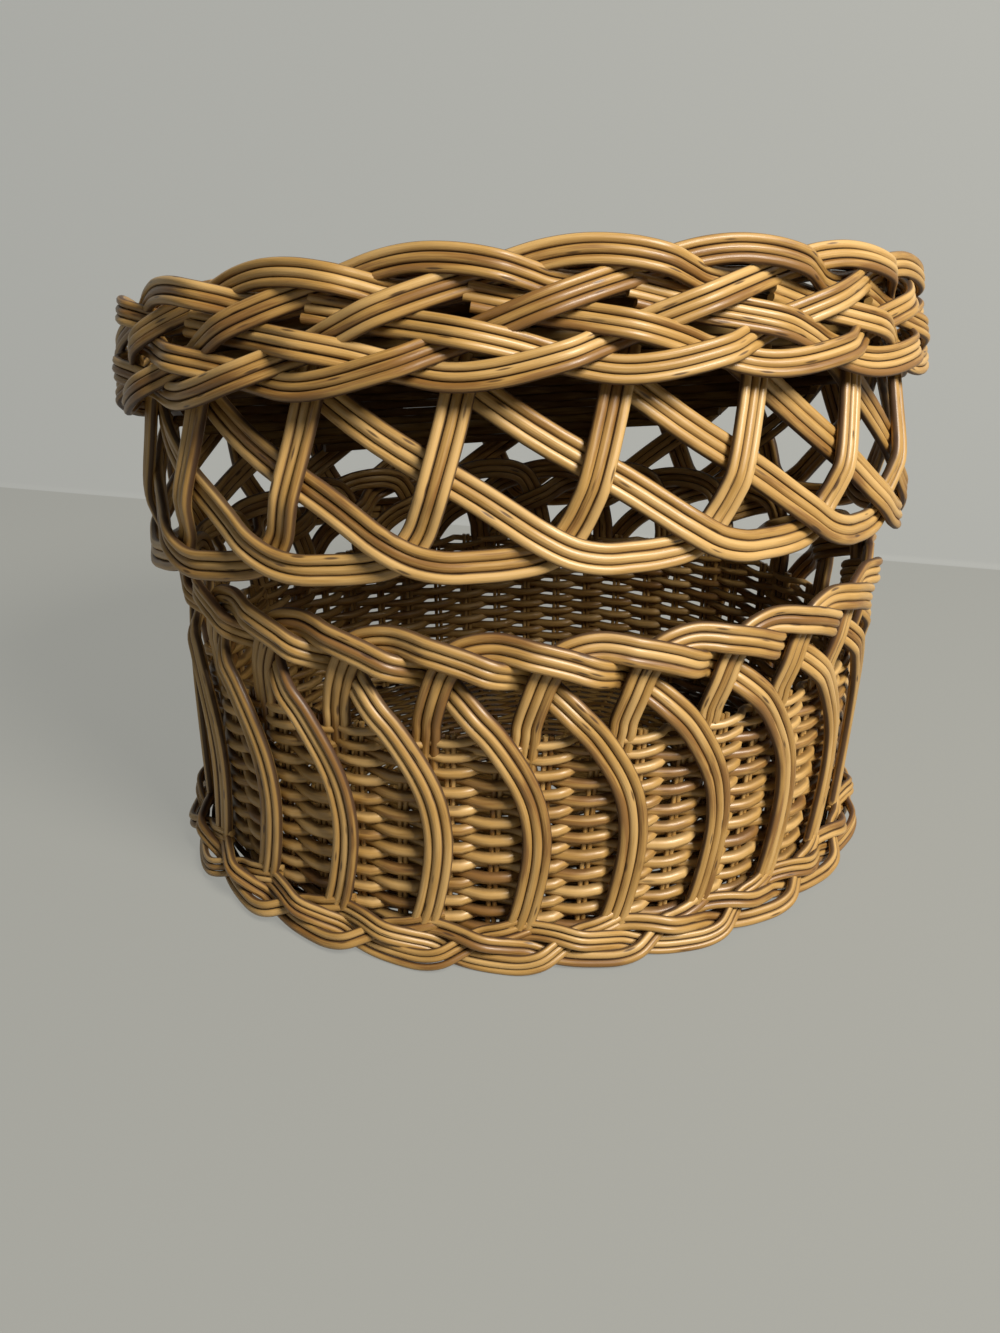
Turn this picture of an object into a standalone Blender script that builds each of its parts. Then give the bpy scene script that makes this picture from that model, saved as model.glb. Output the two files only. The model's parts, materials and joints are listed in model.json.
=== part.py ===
"""Oval lidded wicker basket: randed wall, scalloped rim with outer arches, plaited foot and an
openwork lid with a plaited border. The lid caps the rim and hangs on two loops at the back.

Units are metres, +Z is up, the front faces -Y. The origin is the middle of the underside.
"""

import math

import bmesh
import bpy
from mathutils import Matrix, Vector

# Overall oval, on which the stakes stand
STAKE_HALF_WIDTH = 0.127
STAKE_HALF_DEPTH = 0.105
OVAL_STEPS = 720
GAP = 0.0003

# Bundles of three rods lying side by side
BUNDLE_WIDTH = 0.0088
BUNDLE_THICK = 0.0030
BUNDLE_SHOULDER_SHARE = 0.62
PLAIT_SHOULDER_SHARE = 0.42
LAYER = 0.0035

# Base and wall
BASE_THICK = 0.0070
BASE_OFFSET = 0.0028
WALL_TOP = 0.0800
WALL_THICK = 0.0076
WALL_INSET = 0.0003
WALL_SEGMENTS = 60
WEAVE_COLUMNS = 96
WEAVE_ROWS = 11
WEAVE_RELIEF = 0.0011

# Stake bundles, which make the rim and the arches
BUNDLE_COUNT = 24
BUNDLE_PHASE_SHARE = 0.10
RIM_RISE = 0.0300
ARCH_OFFSET_SHARE = 0.55

# Plaited foot
FOOT_STRANDS = 3
FOOT_WAVES = 8
FOOT_STEPS_PER_WAVE = 9
FOOT_HEIGHT = 0.0172
FOOT_WIDTH = 0.0064
FOOT_THICK = 0.0024
FOOT_SWING = 0.0026
FOOT_OFFSET = 0.0062
FOOT_SPREAD = 0.0048

# Lid: gallery bundles
LID_COUNT = 18
LID_PHASE_SHARE = 0.04
LID_SEAT = 0.0872
GALLERY_HEIGHT = 0.0467
GALLERY_OFFSET = 0.0088
GALLERY_STRAIGHT = 0.0240
GALLERY_TOP_SHARE = 1.255
GALLERY_TOP_OFFSET = 0.0036

# Lid: plaited border. The evening keeps the strands equally far apart at all their crossings
BORDER_STRANDS = 4
BORDER_WAVES = 5
BORDER_STEPS_PER_WAVE = 14
BORDER_HEIGHT = 0.0392
BORDER_WIDTH = 0.0098
BORDER_THICK = 0.0029
BORDER_SWING = 0.0040
BORDER_EVENING = 0.0005
BORDER_OFFSET = 0.0117
BORDER_SPREAD = 0.0054
BORDER_SKEW_SHARE = 0.28

# Lid: woven top, and a woven skirt under its edge that hangs lower towards the back
PANEL_THICK = 0.0050
PANEL_SINK = 0.0082
PANEL_RINGS = 7
PANEL_RELIEF = 0.0012
SKIRT_LAP = 0.0036
SKIRT_CLEARANCE = 0.0018
PANEL_SEGMENTS = 60

# Hinge at the back, turned a little to the left. Its two loops are threaded through the rods of the
# lid's foot and through two stake bundles where these leave the rim for their arches
LID_AJAR_DEGREES = 11.8
HINGE_TURN_DEGREES = 4.6
HINGE_DROP = 0.0040
LOOP_WIRE = 0.0018
LOOP_CLEARANCE = 0.0004
LOOP_SEGMENTS = 24
LOOP_SIDES = 6
LOOP_BUNDLES = (9, 11)

# Finish
ROD_ROUGHNESS = 0.38
WEAVE_ROUGHNESS = 0.42
SPLIT_ROUGHNESS = 0.45
SHARP_DEGREES = 40

# Worked out from the sizes above
FOOT_TOP = GAP + FOOT_HEIGHT
HINGE_TURN = math.radians(HINGE_TURN_DEGREES)
HINGE_LINE = Vector((math.cos(HINGE_TURN), math.sin(HINGE_TURN), 0.0))
HINGE_Z = LID_SEAT - HINGE_DROP
GALLERY_TOP = GALLERY_HEIGHT * GALLERY_TOP_SHARE
PANEL_TOP = GALLERY_HEIGHT + GAP + BORDER_HEIGHT - PANEL_SINK
MIDDLE_LINE_SHARE = (STAKE_HALF_WIDTH - STAKE_HALF_DEPTH) / STAKE_HALF_WIDTH
SKIRT_LOW = GALLERY_TOP - SKIRT_LAP
SKIRT_BACK_LOW = WALL_TOP + RIM_RISE + BUNDLE_WIDTH / 2 + SKIRT_CLEARANCE - LID_SEAT

# Path of a stake bundle: turns along the oval in bundle pitches, height above the wall as a
# share of the rim's rise, and layer outwards
RIM_PATH_SHARE = (
    (0.00, 0.00, -0.90),
    (0.01, 0.14, -0.80),
    (0.08, 0.42, -0.40),
    (0.17, 0.68, -0.40),
    (0.30, 0.88, -0.40),
    (0.48, 0.97, -0.40),
    (0.68, 1.00, -0.36),
    (0.86, 0.99, 0.05),
    (1.02, 0.96, 0.50),
    (1.20, 0.91, 0.60),
    (1.42, 0.82, 0.60),
    (1.64, 0.70, 0.60),
    (1.80, 0.60, -0.30),
    (1.95, 0.51, -1.40),
    (2.26, 0.35, -1.40),
    (2.39, 0.26, -0.55),
    (2.50, 0.16, 0.50),
)

# The arch, as turns and a share of the height from the foot to the wall's top
ARCH_PATH_SHARE = (
    (2.63, 0.99),
    (2.76, 0.92),
    (2.88, 0.83),
    (2.97, 0.73),
    (3.04, 0.60),
    (3.08, 0.45),
    (3.08, 0.30),
    (3.05, 0.15),
    (3.01, 0.03),
)

# Path of a gallery bundle: turns in lid pitches, height as a share of the gallery's height,
# and layer outwards
GALLERY_PATH_SHARE = (
    (-0.30, 1.26, -0.50),
    (0.30, 0.85, -0.50),
    (0.86, 0.53, -0.50),
    (1.10, 0.38, -0.10),
    (1.30, 0.25, 0.50),
    (1.50, 0.145, 0.50),
    (1.70, 0.098, 0.40),
    (1.90, 0.092, 0.00),
    (2.10, 0.096, -0.30),
    (2.30, 0.120, -0.50),
    (2.44, 0.18, -0.50),
    (2.54, 0.29, -0.45),
    (2.61, 0.42, 0.10),
    (2.67, 0.56, 0.50),
    (2.79, 0.90, 0.50),
    (2.90, 1.26, 0.50),
)

WILLOW = (0.52, 0.29, 0.095, 1.0)
WILLOW_PALE = (0.60, 0.36, 0.13, 1.0)
WILLOW_DARK = (0.42, 0.22, 0.07, 1.0)


def clear_scene():
    for item in list(bpy.data.objects):
        bpy.data.objects.remove(item, do_unlink=True)


def make_collection(name):
    collection = bpy.data.collections.new(name)
    bpy.context.scene.collection.children.link(collection)
    return collection


def make_material(name, colour, roughness):
    material = bpy.data.materials.new(name)
    material.use_nodes = True
    shader = material.node_tree.nodes["Principled BSDF"]
    shader.inputs["Base Color"].default_value = colour
    shader.inputs["Roughness"].default_value = roughness
    shader.inputs["Metallic"].default_value = 0.0
    material.diffuse_color = colour
    return material


class Oval:
    """The stake oval, read by the share of the way round it, from the front and towards +X."""

    def __init__(self, half_width, half_depth):
        self.half_width = half_width
        self.half_depth = half_depth
        self.angles = [2 * math.pi * i / OVAL_STEPS - math.pi / 2 for i in range(OVAL_STEPS + 1)]
        self.lengths = [0.0]
        last = self.at_angle(self.angles[0])
        for angle in self.angles[1:]:
            point = self.at_angle(angle)
            self.lengths.append(self.lengths[-1] + (point - last).length)
            last = point
        self.around = self.lengths[-1]

    def at_angle(self, angle):
        return Vector((self.half_width * math.cos(angle), self.half_depth * math.sin(angle), 0.0))

    def angle_of(self, share):
        target = (share % 1.0) * self.around
        low, high = 0, OVAL_STEPS
        while high - low > 1:
            middle = (low + high) // 2
            if self.lengths[middle] <= target:
                low = middle
            else:
                high = middle
        step = self.lengths[high] - self.lengths[low]
        part = (target - self.lengths[low]) / step
        return self.angles[low] + part * (self.angles[high] - self.angles[low])

    def frame(self, share):
        """Point on the oval, the direction outwards and the direction along it."""
        angle = self.angle_of(share)
        point = self.at_angle(angle)
        along = Vector((-self.half_width * math.sin(angle), self.half_depth * math.cos(angle), 0.0))
        along.normalize()
        outward = Vector((along.y, -along.x, 0.0))
        return point, outward, along

    def place(self, share, height, offset):
        point, outward, _ = self.frame(share)
        return point + outward * offset + Vector((0.0, 0.0, height))


OVAL = Oval(STAKE_HALF_WIDTH, STAKE_HALF_DEPTH)


def hinge_point():
    """Where the hinge line touches the ring of the gallery's loops, at the back."""
    out = Vector((-HINGE_LINE.y, HINGE_LINE.x, 0.0))
    angle = math.atan2(STAKE_HALF_DEPTH * out.y, STAKE_HALF_WIDTH * out.x)
    return OVAL.at_angle(angle) + out * GALLERY_OFFSET + Vector((0.0, 0.0, HINGE_Z))


HINGE = hinge_point()


def bundle_section(width, thick, shoulder_share=BUNDLE_SHOULDER_SHARE):
    """Section of a bundle: full in the middle and thinner at its two edges."""
    half = width / 2
    shoulder = half * shoulder_share
    return ((-half, 0.0), (-shoulder, -thick / 2), (shoulder, -thick / 2),
            (half, 0.0), (shoulder, thick / 2), (-shoulder, thick / 2))


def ribbon(name, centres, outwards, section, material, collection, closed=False):
    """A bundle lofted along its centres, with its flat side turned outwards."""
    bm = bmesh.new()
    rings = []
    count = len(centres)
    for i in range(count):
        before = centres[i - 1] if closed or i else centres[i]
        after = centres[(i + 1) % count] if closed or i + 1 < count else centres[i]
        along = (after - before).normalized()
        outward = outwards[i] - along * outwards[i].dot(along)
        outward.normalize()
        across = outward.cross(along)
        rings.append([bm.verts.new(centres[i] + across * x + outward * y) for x, y in section])
    sides = len(section)
    pairs = list(zip(rings, rings[1:]))
    if closed:
        pairs.append((rings[-1], rings[0]))
    for first, second in pairs:
        for i in range(sides):
            j = (i + 1) % sides
            bm.faces.new((first[i], first[j], second[j], second[i]))
    if not closed:
        bm.faces.new(rings[0])
        bm.faces.new(list(reversed(rings[-1])))
    return mesh_object(name, bm, material, collection)


def mesh_object(name, bm, material, collection):
    """An object of the finished faces, which are turned outwards."""
    bmesh.ops.recalc_face_normals(bm, faces=bm.faces)
    mesh = bpy.data.meshes.new(name)
    bm.to_mesh(mesh)
    bm.free()
    return add_object(name, mesh, material, collection)


def add_object(name, mesh, material, collection):
    item = bpy.data.objects.new(name, mesh)
    mesh.materials.clear()
    mesh.materials.append(material)
    mesh.shade_smooth()
    mesh.set_sharp_from_angle(angle=math.radians(SHARP_DEGREES))
    collection.objects.link(item)
    return item


def stake_bundle(index, material, collection):
    """A stake bundle from the wall's top, over the rim and down its arch to the foot."""
    table = [(turn, WALL_TOP + GAP + share * (RIM_RISE - GAP), layer * LAYER)
             for turn, share, layer in RIM_PATH_SHARE]
    arch_top = WALL_TOP
    arch_low = FOOT_TOP + GAP
    table += [(turn, arch_low + share * (arch_top - arch_low), ARCH_OFFSET_SHARE * LAYER)
              for turn, share in ARCH_PATH_SHARE]
    centres = []
    outwards = []
    for turn, height, offset in table:
        share = (index + turn - BUNDLE_PHASE_SHARE) / BUNDLE_COUNT
        centres.append(OVAL.place(share, height, offset))
        outwards.append(OVAL.frame(share)[1])
    section = bundle_section(BUNDLE_WIDTH, BUNDLE_THICK)
    return ribbon(f"stake_bundle_{index + 1:02d}", centres, outwards, section, material, collection)


def gallery_offset(height):
    """How far outside the stake oval the middle of the lid's gallery lies at a height."""
    share = (height - GALLERY_STRAIGHT) / (GALLERY_TOP - GALLERY_STRAIGHT)
    share = max(0.0, min(1.0, share))
    return GALLERY_OFFSET + (GALLERY_TOP_OFFSET - GALLERY_OFFSET) * share


def gallery_bundle(index, material, collection, hinge):
    """A gallery bundle from under the border, round its loop and back up under the border."""
    centres = []
    outwards = []
    for turn, share, layer in GALLERY_PATH_SHARE:
        way = (index + turn - LID_PHASE_SHARE) / LID_COUNT
        height = share * GALLERY_HEIGHT
        offset = gallery_offset(height) + layer * LAYER
        centres.append(lid_point(way, height, offset))
        outwards.append(OVAL.frame(way)[1])
    section = bundle_section(BUNDLE_WIDTH, BUNDLE_THICK)
    item = ribbon(f"gallery_bundle_{index + 1:02d}", centres, outwards, section, material, collection)
    item.parent = hinge
    return item


def lid_point(share, height, offset):
    """A place on the lid, measured from the hinge with the lid level."""
    return OVAL.place(share, LID_SEAT + height, offset) - HINGE


def plait(name, strand, strands, waves, steps_per_wave, place, swing_of, amplitude, lean, skew,
          section, material, collection):
    """One strand of a closed flat plait, which leans in towards its top. The strands of one plait
    are shifted copies. The skew makes them climb steeply and come down slowly."""
    centres = []
    outwards = []
    count = waves * steps_per_wave
    for i in range(count):
        share = i / count
        phase = 2 * math.pi * (share * waves + strand / strands)
        rise = amplitude * math.sin(phase)
        share -= skew * math.sin(phase) / (2 * math.pi * waves)
        centres.append(place(share, rise, swing_of(phase) - lean * rise))
        outwards.append(OVAL.frame(share)[1] + Vector((0.0, 0.0, lean)))
    return ribbon(name, centres, outwards, section, material, collection, closed=True)


def foot_border(material, collection):
    amplitude = (FOOT_HEIGHT - FOOT_WIDTH) / 2
    middle = GAP + FOOT_HEIGHT / 2

    def place(share, rise, swing):
        return OVAL.place(share, middle + rise, FOOT_OFFSET + swing)

    def swing_of(phase):
        return FOOT_SWING * math.sin(2 * phase)

    section = bundle_section(FOOT_WIDTH, FOOT_THICK, PLAIT_SHOULDER_SHARE)
    for strand in range(FOOT_STRANDS):
        plait(f"foot_plait_strand_{strand + 1}", strand, FOOT_STRANDS, FOOT_WAVES,
              FOOT_STEPS_PER_WAVE, place, swing_of, amplitude, FOOT_SPREAD / FOOT_HEIGHT, 0.0,
              section, material, collection)


def lid_border(material, collection, hinge):
    amplitude = (BORDER_HEIGHT - BORDER_WIDTH) / 2
    middle = GALLERY_HEIGHT + GAP + BORDER_HEIGHT / 2

    def place(share, rise, swing):
        return lid_point(share, middle + rise, BORDER_OFFSET + swing)

    def swing_of(phase):
        return -BORDER_SWING * math.cos(3 * phase) + BORDER_EVENING * math.cos(phase)

    section = bundle_section(BORDER_WIDTH, BORDER_THICK, PLAIT_SHOULDER_SHARE)
    for strand in range(BORDER_STRANDS):
        item = plait(f"lid_plait_strand_{strand + 1}", strand, BORDER_STRANDS, BORDER_WAVES,
                     BORDER_STEPS_PER_WAVE, place, swing_of, amplitude,
                     BORDER_SPREAD / BORDER_HEIGHT, BORDER_SKEW_SHARE, section, material,
                     collection)
        item.parent = hinge


def oval_ring(bm, height, offset, segments):
    return [bm.verts.new(OVAL.place(i / segments, height, offset)) for i in range(segments)]


def lid_ring(bm, height):
    return [bm.verts.new(lid_point(i / PANEL_SEGMENTS, height, 0.0)) for i in range(PANEL_SEGMENTS)]


def skin(bm, rings):
    for first, second in zip(rings, rings[1:]):
        count = len(first)
        for i in range(count):
            j = (i + 1) % count
            bm.faces.new((first[i], first[j], second[j], second[i]))


def base(material, collection):
    """The woven bottom, a flat oval slab on which the wall stands."""
    bm = bmesh.new()
    low = oval_ring(bm, 0.0, BASE_OFFSET, WALL_SEGMENTS)
    high = oval_ring(bm, BASE_THICK, BASE_OFFSET, WALL_SEGMENTS)
    skin(bm, [low, high])
    bm.faces.new(list(reversed(low)))
    bm.faces.new(high)
    return mesh_object("base", bm, material, collection)


def wall(material, collection):
    """The randed wall: an open oval surface, bulging out and in by turns as the weave does, with
    its thickness turned inwards."""
    bm = bmesh.new()
    low = BASE_THICK + GAP
    rings = []
    for row in range(WEAVE_ROWS + 1):
        height = low + (WALL_TOP - low) * row / WEAVE_ROWS
        relief = WEAVE_RELIEF if 1 < row < WEAVE_ROWS - 1 else 0.0
        ring = []
        for i in range(WEAVE_COLUMNS):
            bulge = relief * math.sin(math.pi * (i / 2 + row))
            offset = bulge - WALL_INSET - WEAVE_RELIEF
            ring.append(bm.verts.new(OVAL.place(i / WEAVE_COLUMNS, height, offset)))
        rings.append(ring)
    skin(bm, rings)
    item = mesh_object("wall", bm, material, collection)
    solidify = item.modifiers.new("thickness", "SOLIDIFY")
    solidify.thickness = WALL_THICK - 2 * WEAVE_RELIEF
    solidify.offset = -1.0
    return item


def lid_top(material, collection, hinge):
    """The lid's woven top: an oval panel whose two faces rise and fall from ring to ring."""
    bm = bmesh.new()
    edges = []
    for height, relief in ((PANEL_TOP - PANEL_THICK, PANEL_RELIEF), (PANEL_TOP, -PANEL_RELIEF)):
        rings = [lid_ring(bm, height)]
        for ring in range(1, PANEL_RINGS):
            inner_share = 1 - ring / PANEL_RINGS
            ring_height = height + relief * (ring % 2)
            rings.append([bm.verts.new(inner_place(i / PANEL_SEGMENTS, ring_height, inner_share))
                          for i in range(PANEL_SEGMENTS)])
        skin(bm, rings)
        bm.faces.new(rings[-1])
        edges.append(rings[0])
    skin(bm, edges)
    item = mesh_object("lid_top", bm, material, collection)
    item.parent = hinge


def inner_place(share, height, inner_share):
    """A place on a smaller ring of the lid's top. The rings shrink on to a line along the middle."""
    rim = lid_point(share, height, 0.0)
    middle = lid_point(share, height, 0.0)
    middle.y = -HINGE.y
    middle.x = (rim.x + HINGE.x) * MIDDLE_LINE_SHARE - HINGE.x
    return middle.lerp(rim, inner_share)


def lid_skirt(material, collection, hinge):
    """The woven skirt that hangs from the top's edge behind the border, deepest at the back."""
    bm = bmesh.new()
    low = []
    for i in range(PANEL_SEGMENTS):
        back_share = (1 - math.cos(2 * math.pi * i / PANEL_SEGMENTS)) / 2
        height = SKIRT_LOW + (SKIRT_BACK_LOW - SKIRT_LOW) * back_share * back_share
        low.append(bm.verts.new(lid_point(i / PANEL_SEGMENTS, height, 0.0)))
    skin(bm, [low, lid_ring(bm, PANEL_TOP - PANEL_THICK - GAP)])
    item = mesh_object("lid_skirt", bm, material, collection)
    solidify = item.modifiers.new("thickness", "SOLIDIFY")
    solidify.thickness = PANEL_THICK
    solidify.offset = -1.0
    item.parent = hinge


def loop_places():
    """Where the hinge loops stand on the hinge line, and the radius at which each runs through the
    middle of its stake bundle, where the bundle leaves the rim."""
    turn, rise_share, layer = RIM_PATH_SHARE[-1]
    places = []
    for index in LOOP_BUNDLES:
        share = (index + turn - BUNDLE_PHASE_SHARE) / BUNDLE_COUNT
        height = WALL_TOP + GAP + rise_share * (RIM_RISE - GAP)
        arch_top = OVAL.place(share, height, layer * LAYER)
        place = HINGE + HINGE_LINE * (arch_top - HINGE).dot(HINGE_LINE)
        places.append((place, (arch_top - place).length))
    return places


def torus(name, place, radius, wire, collection):
    bpy.ops.mesh.primitive_torus_add(
        major_radius=radius, minor_radius=wire / 2,
        major_segments=LOOP_SEGMENTS, minor_segments=LOOP_SIDES,
        location=place, rotation=(0.0, math.pi / 2, HINGE_TURN))
    item = bpy.context.object
    item.name = name
    for owner in list(item.users_collection):
        owner.objects.unlink(item)
    collection.objects.link(item)
    return item


def hinge_loops(material, collection, cutters):
    """Two loops round the hinge line, and the passages that they need between the rods."""
    tools = []
    for side, (place, radius) in zip(("right", "left"), loop_places()):
        item = torus(f"hinge_loop_{side}", place, radius, LOOP_WIRE, collection)
        item.data.materials.append(material)
        item.data.shade_smooth()
        tool = torus(f"passage_{side}", place, radius, LOOP_WIRE + 2 * LOOP_CLEARANCE, cutters)
        tool.hide_render = True
        tool.display_type = "WIRE"
        tools.append(tool)
    return tools


def world_box(item):
    corners = [item.matrix_world @ Vector(corner) for corner in item.bound_box]
    low = [min(c[i] for c in corners) for i in range(3)]
    high = [max(c[i] for c in corners) for i in range(3)]
    return low, high


def boxes_meet(first, second):
    low_a, high_a = world_box(first)
    low_b, high_b = world_box(second)
    return all(low_a[i] <= high_b[i] and low_b[i] <= high_a[i] for i in range(3))


def cut_passages(items, tools):
    """Cut the loops' passages from the bundles they run through."""
    bpy.context.view_layer.update()
    for item in items:
        for tool in tools:
            if not boxes_meet(item, tool):
                continue
            cut = item.modifiers.new("passage", "BOOLEAN")
            cut.operation = "DIFFERENCE"
            cut.object = tool
            graph = bpy.context.evaluated_depsgraph_get()
            shape = bpy.data.meshes.new_from_object(item.evaluated_get(graph))
            item.modifiers.remove(cut)
            if len(shape.vertices) != len(item.data.vertices):
                item.data = shape
            else:
                bpy.data.meshes.remove(shape)


def main():
    clear_scene()
    parts = make_collection("lidded_wicker_basket")
    cutters = make_collection("cutters")
    rods = make_material("willow_rods", WILLOW, ROD_ROUGHNESS)
    woven = make_material("woven_willow", WILLOW_PALE, WEAVE_ROUGHNESS)
    split = make_material("split_willow", WILLOW_DARK, SPLIT_ROUGHNESS)

    hinge = bpy.data.objects.new("lid_hinge", None)
    hinge.location = HINGE
    hinge.rotation_euler = Matrix.Rotation(-math.radians(LID_AJAR_DEGREES), 3, HINGE_LINE).to_euler()
    parts.objects.link(hinge)

    base(woven, parts)
    wall(woven, parts)
    stakes = [stake_bundle(i, rods, parts) for i in range(BUNDLE_COUNT)]
    foot_border(rods, parts)
    gallery = [gallery_bundle(i, rods, parts, hinge) for i in range(LID_COUNT)]
    lid_border(rods, parts, hinge)
    lid_top(woven, parts, hinge)
    lid_skirt(woven, parts, hinge)
    tools = hinge_loops(split, parts, cutters)
    cut_passages(stakes + gallery, tools)
    for tool in tools:
        bpy.data.objects.remove(tool, do_unlink=True)


main()
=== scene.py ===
"""Oval lidded willow basket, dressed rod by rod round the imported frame.

Units are metres, +Z is up and the front faces -Y. Each bundle of the frame becomes two, three or
four willow rods that run near its path, and the slabs of the wall, base and lid become woven willow.
"""

import json
import math
import random

import bpy
from mathutils import Matrix, Vector


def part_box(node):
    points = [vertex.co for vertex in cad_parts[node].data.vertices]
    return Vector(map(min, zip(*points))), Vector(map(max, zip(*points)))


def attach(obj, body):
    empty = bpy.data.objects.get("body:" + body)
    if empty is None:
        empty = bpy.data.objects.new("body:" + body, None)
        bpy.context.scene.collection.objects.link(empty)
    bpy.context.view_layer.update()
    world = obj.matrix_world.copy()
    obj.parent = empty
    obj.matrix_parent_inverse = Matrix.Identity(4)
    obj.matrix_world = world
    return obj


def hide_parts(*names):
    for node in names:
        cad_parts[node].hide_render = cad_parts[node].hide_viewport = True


bl_info = {
    "name": "Lidded Willow Basket",
    "version": (1, 0, 0),
    "blender": (4, 5, 0),
    "location": "3D View > Sidebar > Basket",
    "description": "Weaves an oval lidded willow basket round its frame",
    "category": "Add Mesh",
}

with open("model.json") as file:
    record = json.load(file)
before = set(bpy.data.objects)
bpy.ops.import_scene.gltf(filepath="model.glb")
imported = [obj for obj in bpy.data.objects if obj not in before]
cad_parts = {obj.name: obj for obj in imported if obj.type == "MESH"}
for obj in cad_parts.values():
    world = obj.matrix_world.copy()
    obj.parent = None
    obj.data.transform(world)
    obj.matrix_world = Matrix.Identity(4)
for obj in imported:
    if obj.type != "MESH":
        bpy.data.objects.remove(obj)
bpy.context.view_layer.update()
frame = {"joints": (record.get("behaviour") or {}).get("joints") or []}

# Clearance between the rods and the wall
GAP = 0.0003

# Sizes read from the frame
HINGE_JOINT = frame["joints"][0]
HINGE = Vector(HINGE_JOINT["pos_m"])
HINGE_AXIS = Vector(HINGE_JOINT["axis"])
LID_OPENING = -math.radians(HINGE_JOINT["range_deg"][0])
WALL_BOX = [Vector(corner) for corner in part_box("wall")]
BASE_BOX = [Vector(corner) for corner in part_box("base")]
STAKE_HALF_WIDTH = WALL_BOX[1].x + GAP
STAKE_HALF_DEPTH = WALL_BOX[1].y + GAP
WALL_TOP = WALL_BOX[1].z
BASE_TOP = BASE_BOX[1].z

# Sizes that the frame's stake bundles and gallery were made with
STAKE_COUNT = 24
STAKE_PHASE_SHARE = 0.10
RIM_RISE = 0.0300
LAYER = 0.0035
ARCH_OFFSET_SHARE = 0.55
GALLERY_COUNT = 18
GALLERY_PHASE_SHARE = 0.04
GALLERY_HEIGHT = 0.0467
GALLERY_OFFSET = 0.0088
GALLERY_STRAIGHT = 0.0240
GALLERY_TOP = 0.0586
GALLERY_TOP_OFFSET = 0.0036
HINGE_DROP = 0.0040

# Sizes of the lid's border, which is a little lower and flatter than the frame's plait
BORDER_NODES = 4
BORDER_COUNT = 18
BORDER_PHASE_SHARE = 0.20
BORDER_LOW = 0.0496
BORDER_HEIGHT = 0.0366
BORDER_SWING = 0.0031
BORDER_OFFSET = 0.0117
BORDER_SPREAD = 0.0054

# Sizes of the foot's plait
FOOT_NODES = 3
FOOT_HEIGHT = 0.0172
FOOT_SWING = 0.0024
FOOT_OFFSET = 0.0062
FOOT_SPREAD = 0.0048

# Sizes of the lid's top and of its skirt, as heights above the lid's foot
PANEL_TOP = 0.0780
PANEL_THICK = 0.0050
SKIRT_LOW = 0.0550
SKIRT_BACK_LOW = 0.0290

# Path of a stake bundle: turns along the oval in bundle pitches, height above the wall as a
# share of the rim's rise, and layer outwards
RIM_PATH_SHARE = (
    (-0.04, -0.50, -1.17),
    (-0.02, -0.20, -1.10),
    (0.00, 0.00, -0.90),
    (0.01, 0.14, -0.80),
    (0.08, 0.42, -0.40),
    (0.17, 0.68, -0.40),
    (0.30, 0.88, -0.40),
    (0.48, 0.97, -0.40),
    (0.68, 1.00, -0.36),
    (0.86, 0.99, 0.05),
    (1.02, 0.96, 0.50),
    (1.20, 0.915, 0.60),
    (1.42, 0.845, 0.60),
    (1.64, 0.76, 0.60),
    (1.80, 0.69, -0.30),
    (1.95, 0.62, -1.40),
    (2.16, 0.52, -1.40),
    (2.32, 0.415, -0.40),
    (2.505, 0.245, 0.50),
    (2.67, 0.055, 0.55),
)

# The arch, as turns and a share of the height from the foot to the wall's top. Its end goes a
# little way behind the foot's plait
ARCH_PATH_SHARE = (
    (2.835, 0.91),
    (2.975, 0.785),
    (3.075, 0.655),
    (3.13, 0.51),
    (3.14, 0.38),
    (3.115, 0.24),
    (3.065, 0.09),
    (3.03, 0.01),
    (2.99, -0.06),
)

# Path of a gallery bundle: turns in lid pitches, height as a share of the gallery's height,
# and layer outwards
GALLERY_PATH_SHARE = (
    (-0.30, 1.26, -0.50),
    (0.30, 0.85, -0.50),
    (0.86, 0.53, -0.50),
    (1.10, 0.38, -0.10),
    (1.30, 0.25, 0.50),
    (1.50, 0.145, 0.50),
    (1.70, 0.098, 0.40),
    (1.90, 0.092, 0.00),
    (2.10, 0.096, -0.30),
    (2.30, 0.120, -0.50),
    (2.44, 0.18, -0.50),
    (2.54, 0.29, -0.45),
    (2.61, 0.42, 0.10),
    (2.67, 0.56, 0.50),
    (2.79, 0.90, 0.50),
    (2.90, 1.26, 0.50),
)

# Path of a bundle of the lid's border: turns in bundle pitches, height as a share of the
# border's, and layer outwards. It starts behind its neighbours, runs down to the lower edge,
# climbs to the upper edge and ends under the next bundle that climbs
BORDER_PATH_SHARE = (
    (-1.87, 0.65, -0.60),
    (-1.50, 0.55, -1.00),
    (-1.20, 0.475, 0.00),
    (-0.93, 0.40, 1.00),
    (-0.65, 0.315, 0.00),
    (-0.37, 0.215, -1.00),
    (-0.05, 0.12, -0.40),
    (0.25, 0.125, 0.40),
    (0.63, 0.215, 1.00),
    (0.85, 0.30, 0.00),
    (1.07, 0.385, -1.00),
    (1.30, 0.475, 0.00),
    (1.55, 0.575, 1.00),
    (1.80, 0.67, 0.50),
    (2.05, 0.755, -0.40),
    (2.28, 0.825, -1.00),
    (2.55, 0.90, -0.50),
    (2.80, 0.925, 0.20),
    (3.05, 0.90, 0.80),
    (3.28, 0.84, 1.00),
    (3.45, 0.78, 0.00),
    (3.62, 0.72, -1.00),
    (3.85, 0.70, -1.70),
    (4.15, 0.75, -2.00),
    (4.50, 0.83, -2.10),
    (4.85, 0.865, -2.10),
    (5.20, 0.865, -2.10),
)

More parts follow.
